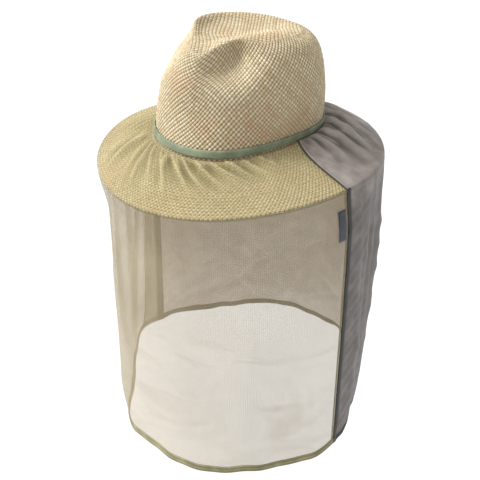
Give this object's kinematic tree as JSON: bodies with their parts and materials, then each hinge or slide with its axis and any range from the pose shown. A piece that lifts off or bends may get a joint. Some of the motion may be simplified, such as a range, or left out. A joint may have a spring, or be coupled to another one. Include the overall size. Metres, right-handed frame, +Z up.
{
  "type": "straw hat with insect net",
  "caption": "Woven straw hat with a creased crown and a sloping brim, an insect net hanging over the front half and a cloth neck cape over the back half.",
  "frame": {"origin": "middle of the head opening, level with the foot of the crown, where the hat sits on a head", "axes": "+Z up through the crown, -Y to the front of the hat, +X to the wearer's left"},
  "size_m": [0.3534, 0.3548, 0.4854],
  "materials": {
    "straw": "natural woven straw, matt with a faint sheen",
    "band_cotton": "sage cotton, fine ribs, matt",
    "insect_net": "fine olive insect net, see-through",
    "cape_cloth": "thin grey cloth, matt",
    "net_hem_cloth": "net folded several times and stitched",
    "dark_binding": "dark grey-green binding, stitched",
    "label_cloth": "dark navy woven label, blank"
  },
  "bodies": {
    "root": {"crown": "straw", "brim": "straw", "hat_band": "band_cotton", "net_veil": "insect_net", "neck_cape": "cape_cloth", "net_hem": "net_hem_cloth", "cape_hem": "dark_binding", "side_seam_left": "dark_binding", "side_seam_right": "dark_binding", "seam_label": "label_cloth"}
  },
  "joints": []
}
